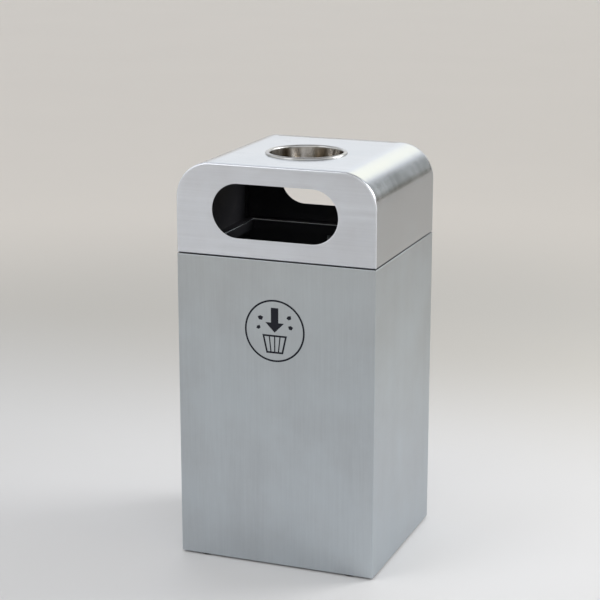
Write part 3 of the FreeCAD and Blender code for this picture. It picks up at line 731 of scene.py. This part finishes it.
def casing_steel():
    """Brushed sheet with upright grain, a dark line of painted shade on the top bend in the joint
    under the hood, and a dark colour inside that is painted shade.
    """
    material, tree, shader = new_material("brushed casing", Metallic=1.0, Anisotropic=0.75)
    place = here(tree)
    colour, rough, normal = brushed_surface(tree, place, *CASING_FINISH)
    axes = separate(tree, place)
    across = number(tree, "ABSOLUTE", axes[0])
    deep = number(tree, "ABSOLUTE", axes[1])
    half_x, half_y = WIDTH / 2 * MM, DEPTH / 2 * MM
    # Inside the sheet the colour turns dark and dull: painted shade for the dim inside of the
    # casing.
    inside = number(tree, "LESS_THAN", across, half_x - SHEET / 2 * MM)
    for length, outside in ((deep, half_y), (axes[2], CASING_TOP * MM)):
        within = number(tree, "LESS_THAN", length, outside - SHEET / 2 * MM)
        inside = number(tree, "MINIMUM", inside, within)
    # A dark line on the top bend, in the joint under the hood: painted shade over the bend's
    # reflection.
    beside = number(tree, "GREATER_THAN", across, half_x - JOINT_SHADE_WIDTH * MM)
    before = number(tree, "GREATER_THAN", deep, half_y - JOINT_SHADE_WIDTH * MM)
    start, full = [(CASING_TOP - drop) * MM for drop in JOINT_SHADE_DROP]
    joint = spread(tree, axes[2], start, full)
    joint = number(tree, "MULTIPLY", joint, number(tree, "MAXIMUM", beside, before))
    colour = tint(tree, number(tree, "MULTIPLY", joint, JOINT_SHADE_STRENGTH), colour, JOINT_PAINTED_SHADE)
    colour = tint(tree, inside, colour, INSIDE_SHADE_COLOUR)
    rough = number(tree, "MAXIMUM", rough, number(tree, "MULTIPLY", inside, INSIDE_SHADE_ROUGH[1]))
    feed(tree, shader["Metallic"], number(tree, "SUBTRACT", 1.0, inside))
    finish_shader(tree, shader, colour, rough, normal)
    return material


def wrap_steel():
    """Brushed sheet whose grain runs up the sides and over the roof, on its own sheet map."""
    material, tree, shader = new_material("brushed wrap", Metallic=1.0, Anisotropic=0.35)
    sheet = add(tree, "ShaderNodeUVMap", uv_map="sheet").outputs["UV"]
    colour, rough, normal = brushed_surface(tree, sheet, *WRAP_FINISH)
    tangent = add(tree, "ShaderNodeTangent", direction_type="UV_MAP", uv_map="sheet")
    feed(tree, shader["Tangent"], tangent.outputs[0])
    finish_shader(tree, shader, colour, rough, normal)
    return material


def panel_steel():
    """Brushed sheet with level grain."""
    material, tree, shader = new_material(
        "brushed panel", Metallic=1.0, Anisotropic=0.7, Anisotropic_Rotation=0.25
    )
    finish_shader(tree, shader, *brushed_surface(tree, here(tree), *PANEL_FINISH))
    return material


def dark_inside():
    """A dark colour inside the hood, painted shade for its dim inside, with a little dust."""
    material, tree, shader = new_material("dark inside painted shade", Specular_IOR_Level=0.2)
    texture = place_group(tree, TEXTURE, {"Place": here(tree), "Size": 0.0015})
    colour = tint(tree, number(tree, "MULTIPLY", texture["Dust"], 0.25), INSIDE_SHADE_COLOUR, INSIDE_SHADE_DUST)
    rough = spread(tree, texture["Grain"], 0.2, 0.8, *INSIDE_SHADE_ROUGH)
    finish_shader(tree, shader, colour, rough, bump(tree, texture["Grain"], 0.25, 0.00008))
    return material


def polished_steel():
    """The bowl: bright drawn sheet with faint turned rings and brown ash film inside.

    The film runs down the wall in streaks of brown ash and clean metal, which also paint in the
    streaked reflections of the polished wall. So its noise is read at the direction from the
    bowl's axis, with height counted little. The floor is worn, and the rolled rim is clean.
    """
    material, tree, shader = new_material("polished bowl", Metallic=1.0)
    place = vector(tree, "SUBTRACT", here(tree), (0.0, BOWL_Y * MM, 0.0))
    axes = separate(tree, place)
    flat = combine(tree, X=axes[0], Y=axes[1])
    length = vector(tree, "LENGTH", flat)
    rings = noise(tree, combine(tree, X=length, Z=axes[2]), 900.0, 3.0, 0.6)
    way = vector(tree, "NORMALIZE", flat)
    drop = combine(tree, Z=number(tree, "MULTIPLY", axes[2], 4.0))
    streaks = noise(tree, vector(tree, "ADD", way, drop), 1.3, 1.0, 0.4)
    streaks = spread(tree, streaks, 0.4, 0.6, smooth=True)
    film = place_group(tree, FILM, {"Place": place, "Size": 0.05})
    # Dark and bright streaks: ash film and clean metal, and painted reflection streaks of the
    # wall.
    colour = tint(tree, streaks, ASH_AND_REFLECTION_DARK_STREAK, CLEAN_AND_REFLECTION_BRIGHT_STREAK)
    inner, outer = [radius * MM for radius in BOWL_FLAT]
    floor = spread(tree, length, inner, outer, 1.0, 0.0, smooth=True)
    turning = spread(tree, rings, 0.3, 0.7, 0.0, 0.5)
    colour = tint(tree, floor, colour, tint(tree, turning, *BOWL_FLOOR))
    colour = tint(tree, number(tree, "MULTIPLY", film["Cloud"], 0.4), colour, ASH_CLOUD)
    inner, outer = [(BOWL_OPENING + step) * MM for step in BOWL_RIM]
    rim = spread(tree, length, inner, outer)
    high = spread(tree, axes[2], (HOOD_TOP - BOWL_RIM_DROP) * MM, HOOD_TOP * MM)
    rim = number(tree, "MULTIPLY", rim, high)
    colour = tint(tree, rim, colour, RIM_COLOUR)
    rough = spread(tree, rings, 0.3, 0.7, 0.13, 0.2)
    rough = number(tree, "MULTIPLY_ADD", film["Marks"], 0.12, rough)
    rough = number(tree, "MULTIPLY_ADD", rim, 0.16, rough)
    finish_shader(tree, shader, colour, rough, bump(tree, rings, 0.05, 0.00002))
    return material


def galvanised(name, size, dark, light):
    """Hot-dip zinc on sheet: spangle, its borders and dull marks."""
    material, tree, shader = new_material(name, Metallic=1.0)
    place = here(tree)
    zinc = place_group(tree, SPANGLE, {"Place": place, "Size": size})
    film = place_group(tree, FILM, {"Place": place, "Size": 0.09})
    colour = tint(tree, zinc["Shade"], dark, light)
    colour = tint(tree, number(tree, "MULTIPLY", zinc["Border"], 0.2), colour, dark)
    rough = spread(tree, zinc["Shade"], 0.0, 1.0, 0.3, 0.48)
    rough = number(tree, "MULTIPLY_ADD", film["Marks"], 0.14, rough)
    finish_shader(tree, shader, colour, rough, bump(tree, zinc["Shade"], 0.15, 0.00004))
    return material


def plated(name, colour, size, rough):
    """Plated wire and fasteners: an even satin with a fine grain and some handling film."""
    material, tree, shader = new_material(name, Metallic=1.0)
    place = here(tree)
    texture = place_group(tree, TEXTURE, {"Place": place, "Size": size})
    film = place_group(tree, FILM, {"Place": place, "Size": 0.03})
    dull = tuple(DULL_SHARE * c for c in colour)
    shade = tint(tree, number(tree, "MULTIPLY", film["Cloud"], 0.5), colour, dull)
    rough = spread(tree, texture["Grain"], 0.2, 0.8, *rough)
    finish_shader(tree, shader, shade, rough, bump(tree, texture["Grain"], 0.2, 0.00003))
    return material


def rubber():
    """Black moulded rubber with a dusty bloom."""
    material, tree, shader = new_material("black rubber", Specular_IOR_Level=0.35)
    texture = place_group(tree, TEXTURE, {"Place": here(tree), "Size": 0.0006})
    bloom = number(tree, "MULTIPLY", texture["Dust"], 0.5)
    colour = tint(tree, bloom, RUBBER, RUBBER_BLOOM)
    rough = spread(tree, texture["Grain"], 0.2, 0.8, 0.55, 0.8)
    finish_shader(tree, shader, colour, rough, bump(tree, texture["Grain"], 0.4, 0.0001))
    return material


def ink():
    """Printed ink, almost black, with a faint satin unevenness."""
    material, tree, shader = new_material("black print", Specular_IOR_Level=0.25)
    texture = place_group(tree, TEXTURE, {"Place": here(tree), "Size": 0.0009})
    colour = tint(tree, number(tree, "MULTIPLY", texture["Dust"], 0.35), INK, INK_DUST)
    rough = spread(tree, texture["Grain"], 0.2, 0.8, 0.38, 0.55)
    finish_shader(tree, shader, colour, rough, bump(tree, texture["Grain"], 0.2, 0.00002))
    return material


def pale_floor():
    """A pale floor whose tone changes with the distance from the bin: lighter close to it, a
    painted pool of light, and darker behind it.
    """
    material, tree, shader = new_material("pale floor", Roughness=0.55, Specular_IOR_Level=0.2)
    place = here(tree)
    away = vector(tree, "LENGTH", place)
    colour = FLOOR_NEAR_PAINTED_LIGHT
    for length, start, stop, tone in (
        (away, 0.3, 1.6, FLOOR_MIDDLE),
        (separate(tree, place)[1], 0.35, 1.5, FLOOR_BEHIND),
        (away, 1.7, 3.4, FLOOR_FAR),
    ):
        colour = tint(tree, spread(tree, length, start, stop, smooth=True), colour, tone)
    cloud = spread(tree, noise(tree, place, 1.1, 4.0, 0.55), 0.3, 0.7)
    colour = tint(tree, number(tree, "MULTIPLY", cloud, 0.05), colour, FLOOR_CLOUD)
    feed(tree, shader["Base Color"], colour)
    return material


PANEL_STEEL = panel_steel()
DARK_INSIDE = dark_inside()
WRAP_STEEL = wrap_steel()
ZINC_TONES = ((0.4, 0.42, 0.44), (0.54, 0.56, 0.58))
MILL_TONES = ((0.33, 0.34, 0.35), (0.46, 0.47, 0.48))
LOOKS = {
    "brushed_stainless": casing_steel(),
    "polished_stainless": polished_steel(),
    "galvanised_steel": galvanised("galvanised sheet", 0.014, *ZINC_TONES),
    "mill_steel": galvanised("mill galvanised", 0.006, *MILL_TONES),
    "zinc_wire": plated("zinc wire", (0.6, 0.61, 0.62), 0.0012, (0.22, 0.38)),
    "zinc_fasteners": plated("zinc plate", (0.58, 0.57, 0.53), 0.0008, (0.2, 0.34)),
    "black_rubber": rubber(),
    "black_print": ink(),
}
for part in frame["record"]["subparts"]:
    node = frame["nodes"][part["node"]]
    node.data.materials.clear()
    node.data.materials.append(LOOKS[part["material_slot"]])

# ------------------------------------------------------------------ pieces

add_piece(
    "hood_wrap_sheet",
    hood_wrap_mesh(),
    "hood",
    (WRAP_STEEL, DARK_INSIDE),
    ("hood_wrap",),
)
for end_name, end_side in (("front", -1), ("rear", 1)):
    pan_name = "hood_" + end_name + "_pan"
    add_piece(
        pan_name,
        hood_panel_mesh(pan_name, end_side),
        "hood",
        (PANEL_STEEL, DARK_INSIDE),
        ("hood_" + end_name + "_panel",),
    )

add_piece(
    "liner_wall",
    liner_mesh(),
    "liner",
    (LOOKS["galvanised_steel"],),
    ("liner_shell",),
)

# ------------------------------------------------------------------ studio


def make_floor():
    """A wide pale disc: rings of points at growing radius round the bin."""
    radius = np.array(FLOOR_RADII)[:, None]
    angle = np.linspace(0.0, 2 * math.pi, FLOOR_SIDES + 1)[:-1]
    x, y = radius * np.cos(angle), radius * np.sin(angle)
    points = np.stack([x, y, np.zeros(x.shape)], axis=-1)
    faces = grid_faces(*x.shape, close_columns=True)
    mesh = piece_mesh("floor", [(points / MM, faces, 0, None)])
    floor = bpy.data.objects.new("floor", mesh)
    floor.data.materials.append(pale_floor())
    bpy.context.collection.objects.link(floor)


def make_world():
    """A soft pale room by direction.

    A tan band lies low down, with a bright band above it and a duller ceiling. Four dark uprights
    and four lit panels stand in the bright band, a quarter turn apart, and the ceiling has brown
    beams, four round a turn.
    """
    world = bpy.data.worlds.new("studio")
    bpy.context.scene.world = world
    world.use_nodes = True
    tree = world.node_tree
    way = tree.nodes.new("ShaderNodeTexCoord").outputs["Generated"]
    axes = separate(tree, way)
    bearing = number(tree, "ARCTAN2", axes[0], axes[1])

    def rise(start, stop):
        """Grows from zero to one between two heights, as the sine of the angle above level."""
        return spread(tree, axes[2], start, stop, smooth=True)

    def upright_band(middle, half, soft):
        """One inside a band of bearings, in degrees, that comes round every quarter turn."""
        quarter = math.pi / 2
        start = quarter / 2 - math.radians(middle)
        turned = number(tree, "WRAP", number(tree, "ADD", bearing, start), quarter, 0.0)
        off = number(tree, "ABSOLUTE", number(tree, "SUBTRACT", turned, quarter / 2))
        edge = math.radians(half)
        return spread(tree, off, edge, edge + math.radians(soft), 1.0, 0.0, smooth=True)

    colour = tint(tree, rise(0.02, 0.2), ROOM_TAN, ROOM_BRIGHT)
    colour = tint(tree, rise(0.42, 0.62), colour, ROOM_CEILING)
    lit = number(tree, "MULTIPLY", upright_band(-2.0, 9.0, 4.0), rise(0.3, 0.38))
    lit = number(tree, "MULTIPLY", lit, rise(0.62, 0.5))
    colour = tint(tree, lit, colour, ROOM_LIT)
    upright = number(tree, "MULTIPLY", upright_band(18.0, 5.0, 3.0), rise(0.5, 0.4))
    colour = tint(tree, number(tree, "MULTIPLY", upright, 0.92), colour, ROOM_DARK)
    beam = number(tree, "SINE", number(tree, "MULTIPLY_ADD", bearing, 4.0, 0.7))
    beam = spread(tree, beam, -0.2, 0.35, smooth=True)
    colour = tint(tree, number(tree, "MULTIPLY", beam, rise(0.66, 0.78)), colour, ROOM_BEAM)
    feed(tree, tree.nodes["Background"].inputs["Color"], colour)


def make_light(name, place, aim, size, power):
    """A soft square lamp of so many watts that looks from its place to its aim, in metres."""
    data = bpy.data.lights.new(name, "AREA")
    data.size = size
    data.energy = power
    data.color = LAMP_COLOUR
    lamp = bpy.data.objects.new(name, data)
    lamp.location = place
    way = np.subtract(place, aim)
    flat = math.hypot(way[0], way[1])
    lamp.rotation_euler = (math.atan2(flat, way[2]), 0.0, math.atan2(way[0], -way[1]))
    bpy.context.collection.objects.link(lamp)


make_camera()
make_floor()
make_world()
make_light("front_lamp", (-1.6, -2.2, 2.6), (-0.1, -0.6, 0.0), 1.8, 21.0)
make_light("side_lamp", (1.6, 1.1, 1.6), (0.4, 0.1, 0.0), 1.0, 25.0)
bpy.context.scene.view_settings.view_transform = "Standard"
bpy.context.view_layer.update()
